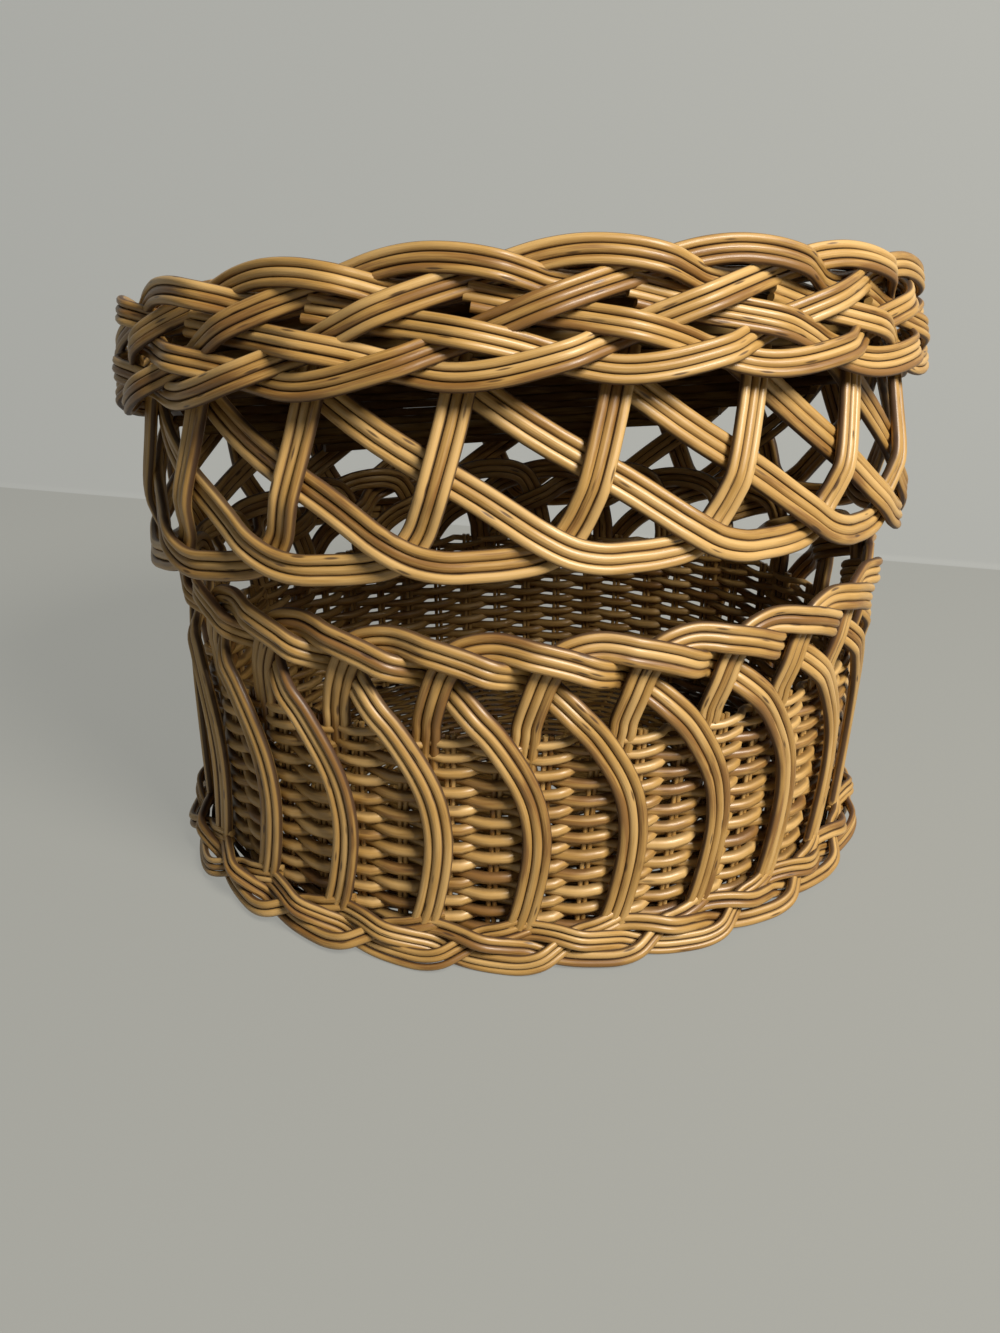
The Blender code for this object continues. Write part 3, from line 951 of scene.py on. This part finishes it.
class BASKET_OT_gallery(bpy.types.Operator):
    """Three rods for each bundle of the lid's openwork gallery"""

    bl_idname = "basket.gallery"
    bl_label = "Lid gallery"

    CHANCE_SEED = 23
    FIRST_SEED = 40
    STAGGER = 0.0020

    def execute(self, context):
        sizes = context.scene.basket_sizes
        chance = random.Random(self.CHANCE_SEED)
        rows = gallery_rows()

        def place(share, height, offset):
            return on_lid(OVAL.place(share, height, offset))

        for index in range(GALLERY_COUNT):
            centres, outwards = centre_line(rows, place, GALLERY_PHASE_SHARE, GALLERY_COUNT, index)
            outwards = [LID_TURN @ outward for outward in outwards]
            rods = bundle(centres, outwards, chance, sizes.bundle_pitch, sizes.bundle_rod,
                          self.STAGGER)
            weave_piece(f"gallery_rods_{index + 1:02d}", rods, bundle_material(), "lid",
                        [f"gallery_bundle_{index + 1:02d}"], sizes.sides,
                        sizes.wobble, self.FIRST_SEED + index)
        return {"FINISHED"}


class BASKET_OT_lid_plait(bpy.types.Operator):
    """The plaited border of the lid, whose bundles start with their cut ends showing"""

    bl_idname = "basket.lid_plait"
    bl_label = "Lid plait"

    CHANCE_SEED = 37
    FIRST_SEED = 70
    STAGGER = 0.0030

    # The share of bundles with four rods, the rods' thickness in each kind, and their pitch in rods
    FOUR_ROD_SHARE = 0.4
    FOUR_ROD_SCALE = 0.92
    THREE_ROD_SCALE = 1.06
    PITCH_SHARE = 0.94

    def execute(self, context):
        sizes = context.scene.basket_sizes
        chance = random.Random(self.CHANCE_SEED)
        lean = BORDER_SPREAD / BORDER_HEIGHT
        rows = smooth_rows([(turn, share * BORDER_HEIGHT, layer * BORDER_SWING)
                            for turn, share, layer in BORDER_PATH_SHARE], BORDER_PIECES)

        def place(share, height, offset):
            offset += BORDER_OFFSET - lean * (height - BORDER_HEIGHT / 2)
            return on_lid(OVAL.place(share, BORDER_LOW + height, offset))

        groups = [[] for _ in range(BORDER_NODES)]
        for index in range(BORDER_COUNT):
            centres, outwards = centre_line(rows, place, BORDER_PHASE_SHARE, BORDER_COUNT, index)
            outwards = [LID_TURN @ (outward + UP * lean) for outward in outwards]
            four = chance.random() < self.FOUR_ROD_SHARE
            rod = sizes.border_rod * (self.FOUR_ROD_SCALE if four else self.THREE_ROD_SCALE)
            groups[index % BORDER_NODES] += bundle(centres, outwards, chance,
                                                   rod * self.PITCH_SHARE, rod,
                                                   self.STAGGER, 4 if four else 3)
        for number, rods in enumerate(groups):
            weave_piece(f"lid_plait_rods_{number + 1}", rods, bundle_material(), "lid",
                        [f"lid_plait_strand_{number + 1}"], sizes.sides,
                        sizes.wobble, self.FIRST_SEED + number)
        return {"FINISHED"}


class BASKET_OT_foot_plait(bpy.types.Operator):
    """The plaited border round the foot, one bundle from each arch's end"""

    bl_idname = "basket.foot_plait"
    bl_label = "Foot plait"

    CHANCE_SEED = 53
    FIRST_SEED = 90
    STAGGER = 0.0020

    # The share of bundles with three rods, not two, and how thick those are
    THREE_ROD_SHARE = 0.4
    THREE_ROD_SCALE = 0.80

    def execute(self, context):
        sizes = context.scene.basket_sizes
        chance = random.Random(self.CHANCE_SEED)
        lean = FOOT_SPREAD / FOOT_HEIGHT
        rows = smooth_rows([(turn, share * FOOT_HEIGHT, layer * FOOT_SWING)
                            for turn, share, layer in FOOT_PATH_SHARE], BUNDLE_PIECES)

        def place(share, height, offset):
            offset += FOOT_OFFSET - lean * (height - FOOT_HEIGHT / 2)
            return OVAL.place(share, GAP + height, offset)

        groups = [[] for _ in range(FOOT_NODES)]
        for index in range(STAKE_COUNT):
            centres, outwards = centre_line(rows, place, STAKE_PHASE_SHARE, STAKE_COUNT, index)
            outwards = [outward + UP * lean for outward in outwards]
            three = chance.random() < self.THREE_ROD_SHARE
            rod = sizes.foot_rod * (self.THREE_ROD_SCALE if three else 1.0)
            groups[index % FOOT_NODES] += bundle(centres, outwards, chance, rod, rod,
                                                 self.STAGGER, 3 if three else 2)
        for number, rods in enumerate(groups):
            weave_piece(f"foot_plait_rods_{number + 1}", rods, bundle_material(), "basket",
                        [f"foot_plait_strand_{number + 1}"], sizes.sides,
                        sizes.wobble, self.FIRST_SEED + number)
        return {"FINISHED"}


class BASKET_OT_wall(bpy.types.Operator):
    """The randed wall: rows of single rods in and out round the stakes"""

    bl_idname = "basket.wall"
    bl_label = "Woven wall"

    CHANCE_SEED = 71
    SEED = 5
    SIDES = 8
    UNEVEN = 0.22

    # The wall's ends, and how far its stakes stand in from the oval
    LOW = BASE_TOP + GAP
    HIGH = WALL_TOP - GAP
    INSET = 0.0041

    # Pairs of stakes for each arch, where they stand from it, and how they lean to the top
    STAKES_PER_PITCH = 2
    STAKES = STAKE_COUNT * STAKES_PER_PITCH
    STAKE_PIECES = 12
    STAKE_APART_SHARE = 0.55
    PHASE_SHARE = 0.26
    LEAN_SHARE = 0.06

    # A weaver's wave: how far it swings, how its crests lean and flatten, and how it strays
    STEPS_PER_STAKE = 6
    STEPS = STAKES * STEPS_PER_STAKE
    SWING_SHARE = 0.64
    SKEW = 0.45
    FLAT_SHARE = 0.18
    TWIST = 0.0004
    STRAY = 0.0003
    THICKNESS_SHARES = (0.92, 1.06)

    # The share of the height from which the rows grow finer, and how fine the last one is
    FINE_FROM_SHARE = 0.72
    FINE_SHARE = 0.66

    def stake_share(self, number, height):
        """The share of the way round at which a stake stands, which leans with its height."""
        lean = self.LEAN_SHARE * (height - self.LOW) / (self.HIGH - self.LOW) - self.LEAN_SHARE
        turn = number / self.STAKES_PER_PITCH + lean - self.PHASE_SHARE
        return (turn - STAKE_PHASE_SHARE) / STAKE_COUNT

    def weavers(self, sizes, chance):
        """The rows of single rods, which grow finer towards the wall's top."""
        swing = self.SWING_SHARE * (sizes.weave_stake + sizes.weave_rod) / 2
        rods = []
        height = self.LOW + sizes.weave_rod / 2
        while height < self.HIGH:
            fine = (height - self.LOW) / (self.HIGH - self.LOW) - self.FINE_FROM_SHARE
            fine = max(0.0, fine) / (1 - self.FINE_FROM_SHARE)
            scale = 1 - (1 - self.FINE_SHARE) * fine
            shift = self.stake_share(0, height)
            stray = chance.uniform(-self.STRAY, self.STRAY)
            points = []
            for step in range(self.STEPS):
                share = step / self.STEPS
                phase = math.pi * ((share - shift) * self.STAKES + len(rods))
                phase -= self.SKEW * math.cos(phase)
                out = (1 + self.FLAT_SHARE) * math.cos(phase) - self.FLAT_SHARE * math.cos(3 * phase)
                twist = self.TWIST * (1 + fine) * math.sin(phase)
                points.append(OVAL.place(share, height + stray + twist, swing * out - self.INSET))
            thickness = sizes.weave_rod * scale * chance.uniform(*self.THICKNESS_SHARES)
            rods.append(Rod(points, [UP] * self.STEPS, thickness, chance.random(), closed=True))
            height += sizes.weave_pitch * scale
        return rods

    def stakes(self, sizes, chance):
        """The pairs of stakes inside the weave."""
        rods = []
        for number in range(self.STAKES):
            for side in (-1, 1):
                points = []
                for step in range(self.STAKE_PIECES + 1):
                    height = self.LOW + (self.HIGH - self.LOW) * step / self.STAKE_PIECES
                    share = self.stake_share(number, height)
                    share += side * sizes.weave_stake * self.STAKE_APART_SHARE / OVAL.around
                    points.append(OVAL.place(share, height, -self.INSET))
                across = [OVAL.frame(share)[1].cross(UP)] * len(points)
                rods.append(Rod(points, across, sizes.weave_stake, chance.random()))
        return rods

    def execute(self, context):
        sizes = context.scene.basket_sizes
        chance = random.Random(self.CHANCE_SEED)
        rods = self.weavers(sizes, chance)
        rods += self.stakes(sizes, chance)
        weave_piece("woven_wall", rods, weave_material(), "basket", ["wall"],
                    self.SIDES, sizes.wobble, self.SEED, self.UNEVEN)
        return {"FINISHED"}


def panel_rings(sizes, chance, outer, middle, turn):
    """Rings of a woven oval panel, in and out round its spokes.

    Outer is how far it reaches past the oval, middle is its height, and turn puts it in place.
    """
    pitch = sizes.panel_rod * RING_PITCH_SHARE
    swing = sizes.panel_rod * RING_SWING_SHARE
    count = int((STAKE_HALF_DEPTH + outer) / pitch) - RINGS_LEFT_OUT
    rods = []
    for ring in range(count):
        inset = outer - (ring + 0.5) * pitch
        a = STAKE_HALF_WIDTH + inset
        b = STAKE_HALF_DEPTH + inset
        crossings = PANEL_SPOKES if ring < count * OUTER_RINGS_SHARE else PANEL_SPOKES // 2
        steps = crossings * STEPS_PER_SPOKE
        points = []
        across = []
        for step in range(steps):
            angle = 2 * math.pi * step / steps
            lift = swing * math.cos(math.pi * (step / STEPS_PER_SPOKE + ring))
            points.append(turn(Vector((a * math.cos(angle), b * math.sin(angle), middle + lift))))
            across.append(Vector((math.cos(angle) / a, math.sin(angle) / b, 0.0)).normalized())
        thickness = sizes.panel_rod * chance.uniform(*PANEL_THICKNESS_SHARES)
        rods.append(Rod(points, across, thickness, chance.random(), closed=True))
    return rods


def panel_spokes(sizes, chance, outer, middle, turn):
    """Spokes of a woven oval panel, from its edge to its middle line."""
    reach = outer - sizes.panel_rod * RING_PITCH_SHARE
    rods = []
    for spoke in range(PANEL_SPOKES):
        angle = 2 * math.pi * spoke / PANEL_SPOKES
        end = Vector(((STAKE_HALF_WIDTH + reach) * math.cos(angle),
                      (STAKE_HALF_DEPTH + reach) * math.sin(angle), 0.0))
        start = Vector(((STAKE_HALF_WIDTH - STAKE_HALF_DEPTH) * math.cos(angle), 0.0, 0.0))
        points = [turn(start.lerp(end, step / SPOKE_PIECES) + UP * middle)
                  for step in range(SPOKE_PIECES + 1)]
        side = (end - start).cross(UP).normalized()
        rods.append(Rod(points, [side] * len(points), sizes.panel_rod, chance.random()))
    return rods


class BASKET_OT_base(bpy.types.Operator):
    """The woven oval base"""

    bl_idname = "basket.base"
    bl_label = "Woven base"

    CHANCE_SEED = 83
    SEED = 6

    def execute(self, context):
        sizes = context.scene.basket_sizes
        chance = random.Random(self.CHANCE_SEED)
        reach = BASE_BOX[1].x - STAKE_HALF_WIDTH
        panel = (sizes, chance, reach, BASE_TOP / 2, lambda point: point)
        rods = panel_rings(*panel) + panel_spokes(*panel)
        weave_piece("woven_base", rods, panel_material(), "basket", ["base"],
                    PANEL_SIDES, sizes.wobble / 2, self.SEED, PANEL_UNEVEN)
        return {"FINISHED"}


class BASKET_OT_lid_top(bpy.types.Operator):
    """The woven oval top of the lid with its short skirt"""

    bl_idname = "basket.lid_top"
    bl_label = "Woven lid top"

    CHANCE_SEED = 97
    TOP_SEED = 7
    SKIRT_SEED = 9
    SKIRT_STAKES = 48
    STEPS_PER_STAKE = 4
    SKIRT_SWING = 0.0011

    # A row of the skirt with no more points than this is left out
    FEWEST_POINTS = 8

    def skirt(self, sizes, chance):
        """Rows of the skirt, of which the lower ones only reach round the lid's back."""
        top = PANEL_TOP - PANEL_THICK
        steps = self.SKIRT_STAKES * self.STEPS_PER_STAKE
        up = LID_TURN @ UP
        rods = []
        for row in range(int((top - SKIRT_BACK_LOW) / sizes.weave_pitch)):
            height = top - (row + 0.5) * sizes.weave_pitch
            points = []
            for step in range(steps):
                share = step / steps
                back_share = (1 - math.cos(2 * math.pi * share)) / 2
                low = SKIRT_LOW + (SKIRT_BACK_LOW - SKIRT_LOW) * back_share ** 2
                if height < low:
                    continue
                swing = self.SKIRT_SWING * math.cos(math.pi * (step / self.STEPS_PER_STAKE + row))
                points.append(on_lid(OVAL.place(share, height, swing - PANEL_THICK / 2)))
            if len(points) > self.FEWEST_POINTS:
                rods.append(Rod(points, [up] * len(points), sizes.weave_rod, chance.random(),
                                closed=len(points) == steps))
        return rods

    def execute(self, context):
        sizes = context.scene.basket_sizes
        chance = random.Random(self.CHANCE_SEED)
        panel = (sizes, chance, 0.0, PANEL_TOP - PANEL_THICK / 2, on_lid)
        rods = panel_rings(*panel) + panel_spokes(*panel)
        weave_piece("woven_lid_top", rods, panel_material(), "lid", ["lid_top"],
                    PANEL_SIDES, sizes.wobble / 2, self.TOP_SEED, PANEL_UNEVEN)
        weave_piece("woven_lid_skirt", self.skirt(sizes, chance), panel_material(), "lid",
                    ["lid_skirt"], PANEL_SIDES, sizes.wobble / 2,
                    self.SKIRT_SEED, PANEL_UNEVEN)
        return {"FINISHED"}


class BASKET_OT_hinge_loops(bpy.types.Operator):
    """The two willow loops that join the lid to the basket's back rim"""

    bl_idname = "basket.hinge_loops"
    bl_label = "Hinge loops"

    SEED = 8
    SIDES = 10
    STEPS = 48
    TONE = 0.4

    def execute(self, context):
        sizes = context.scene.basket_sizes
        out = UP.cross(-HINGE_AXIS)
        for side in ("left", "right"):
            node = f"hinge_loop_{side}"
            low, high = (Vector(corner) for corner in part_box(node))
            middle = (low + high) / 2
            radius = (high.z - low.z - sizes.loop_rod) / 2
            points = []
            for step in range(self.STEPS):
                angle = 2 * math.pi * step / self.STEPS
                points.append(middle + (out * math.cos(angle) + UP * math.sin(angle)) * radius)
            rod = Rod(points, [HINGE_AXIS] * self.STEPS, sizes.loop_rod, self.TONE, closed=True)
            weave_piece(f"hinge_loop_rod_{side}", [rod], loop_material(), "basket",
                        [node], self.SIDES, 0.0, self.SEED, 0.0)
        return {"FINISHED"}


class BASKET_OT_stage(bpy.types.Operator):
    """Pale floor and backdrop, soft lamps and the camera"""

    bl_idname = "basket.stage"
    bl_label = "Stage"

    def execute(self, context):
        settings = context.scene.basket_stage
        floor = self.backdrop(settings)
        self.lamp("key_lamp", KEY_PLACE, KEY_SIZE, settings.key_power, KEY_COLOUR)
        self.lamp("fill_lamp", FILL_PLACE, FILL_SIZE, settings.fill_power, FILL_COLOUR)
        world = bpy.data.worlds.new("studio")
        world.use_nodes = True
        sky = world.node_tree.nodes["Background"].inputs
        sky["Color"].default_value = SKY_COLOUR
        sky["Strength"].default_value = settings.sky
        context.scene.world = world
        self.camera(context.scene)
        context.scene.view_settings.view_transform = "Standard"
        return {"FINISHED"}

    def backdrop(self, settings):
        """The floor and a sheet that rises behind the basket from a small fold."""
        profile = [(-BACKDROP_HALF, 0.0)]
        for i in range(FOLD_PIECES + 1):
            angle = math.pi / 2 * i / FOLD_PIECES
            profile.append((BACKDROP_AWAY + FOLD_RADIUS * math.sin(angle),
                            FOLD_RADIUS - FOLD_RADIUS * math.cos(angle)))
        profile.append((BACKDROP_AWAY + FOLD_RADIUS, BACKDROP_HALF))
        turn = Matrix.Rotation(BACKDROP_TURN, 3, "Z")
        vertices = []
        for y, z in profile:
            vertices += [tuple(turn @ Vector((side * BACKDROP_HALF, y, z))) for side in (-1, 1)]
        faces = [(2 * i, 2 * i + 1, 2 * i + 3, 2 * i + 2) for i in range(len(profile) - 1)]
        mesh = bpy.data.meshes.new("backdrop")
        mesh.from_pydata(vertices, [], faces)
        mesh.shade_smooth()
        item = bpy.data.objects.new("backdrop", mesh)
        for name, colour in (("pale_floor", settings.floor), ("pale_sheet", settings.backdrop)):
            mesh.materials.append(self.paper(name, colour))
        for face in mesh.polygons:
            face.material_index = int(face.index > 0)
        bpy.context.scene.collection.objects.link(item)
        return item

    def paper(self, name, colour):
        """Pale paper that the camera sees evenly bright, with part of its shadows kept."""
        material = bpy.data.materials.new(name)
        material.use_nodes = True
        nodes = material.node_tree.nodes
        links = material.node_tree.links
        shader = nodes["Principled BSDF"]
        dim = [part * BOUNCE_SHARE for part in colour[:3]]
        shader.inputs["Base Color"].default_value = (*dim, 1.0)
        shader.inputs["Roughness"].default_value = PAPER_ROUGHNESS
        glow = nodes.new("ShaderNodeEmission")
        glow.inputs["Color"].default_value = colour
        path = nodes.new("ShaderNodeLightPath").outputs
        mirrored = math_node(nodes, links, "ADD", path["Is Glossy Ray"],
                             path["Is Transmission Ray"])
        seen = math_node(nodes, links, "ADD", path["Is Camera Ray"], mirrored, True)
        seen = math_node(nodes, links, "MULTIPLY", seen, EVEN_SHARE)
        mix = nodes.new("ShaderNodeMixShader")
        links.new(seen, mix.inputs[0])
        links.new(shader.outputs[0], mix.inputs[1])
        links.new(glow.outputs[0], mix.inputs[2])
        links.new(mix.outputs[0], nodes["Material Output"].inputs["Surface"])
        return material

    def lamp(self, name, place, size, power, colour):
        light = bpy.data.lights.new(name, "AREA")
        light.shape = "DISK"
        light.size = size
        light.energy = power
        light.color = colour
        item = bpy.data.objects.new(name, light)
        item.location = place
        aim = Vector(LAMP_AIM) - Vector(place)
        item.rotation_euler = aim.to_track_quat("-Z", "Y").to_euler()
        bpy.context.scene.collection.objects.link(item)

    def camera(self, scene):
        data = bpy.data.cameras.new("camera")
        data.sensor_width = SENSOR_MM
        data.lens = SENSOR_MM * FOCAL_PIXELS / IMAGE_HEIGHT_PIXELS
        item = bpy.data.objects.new("camera", data)
        item.location = CAMERA_PLACE
        turn = Matrix.Rotation(CAMERA_HEADING, 3, "Z")
        turn = turn @ Matrix.Rotation(math.pi / 2 - CAMERA_PITCH, 3, "X")
        turn = turn @ Matrix.Rotation(CAMERA_ROLL, 3, "Z")
        item.rotation_euler = turn.to_euler()
        scene.collection.objects.link(item)
        scene.camera = item


class BASKET_PT_panel(bpy.types.Panel):
    """The basket's pieces, in the order in which they are made"""

    bl_idname = "BASKET_PT_panel"
    bl_label = "Lidded willow basket"
    bl_space_type = "VIEW_3D"
    bl_region_type = "UI"
    bl_category = "Basket"

    def draw(self, context):
        for group in (context.scene.basket_sizes, context.scene.basket_finish,
                      context.scene.basket_stage):
            box = self.layout.box()
            for name in group.__annotations__:
                box.prop(group, name)
        for operator in OPERATORS:
            self.layout.operator(operator.bl_idname)


GROUPS = (BasketSizes, BasketFinish, StageSettings)
OPERATORS = (
    BASKET_OT_base,
    BASKET_OT_wall,
    BASKET_OT_stake_bundles,
    BASKET_OT_foot_plait,
    BASKET_OT_gallery,
    BASKET_OT_lid_plait,
    BASKET_OT_lid_top,
    BASKET_OT_hinge_loops,
    BASKET_OT_stage,
)


def register():
    for item in (*GROUPS, *OPERATORS, BASKET_PT_panel):
        bpy.utils.register_class(item)
    bpy.types.Scene.basket_sizes = bpy.props.PointerProperty(type=BasketSizes)
    bpy.types.Scene.basket_finish = bpy.props.PointerProperty(type=BasketFinish)
    bpy.types.Scene.basket_stage = bpy.props.PointerProperty(type=StageSettings)


def unregister():
    del bpy.types.Scene.basket_stage
    del bpy.types.Scene.basket_finish
    del bpy.types.Scene.basket_sizes
    for item in reversed((*GROUPS, *OPERATORS, BASKET_PT_panel)):
        bpy.utils.unregister_class(item)


def main():
    register()
    for operator in OPERATORS:
        group, name = operator.bl_idname.split(".")
        getattr(getattr(bpy.ops, group), name)()


if __name__ == "__main__":
    main()
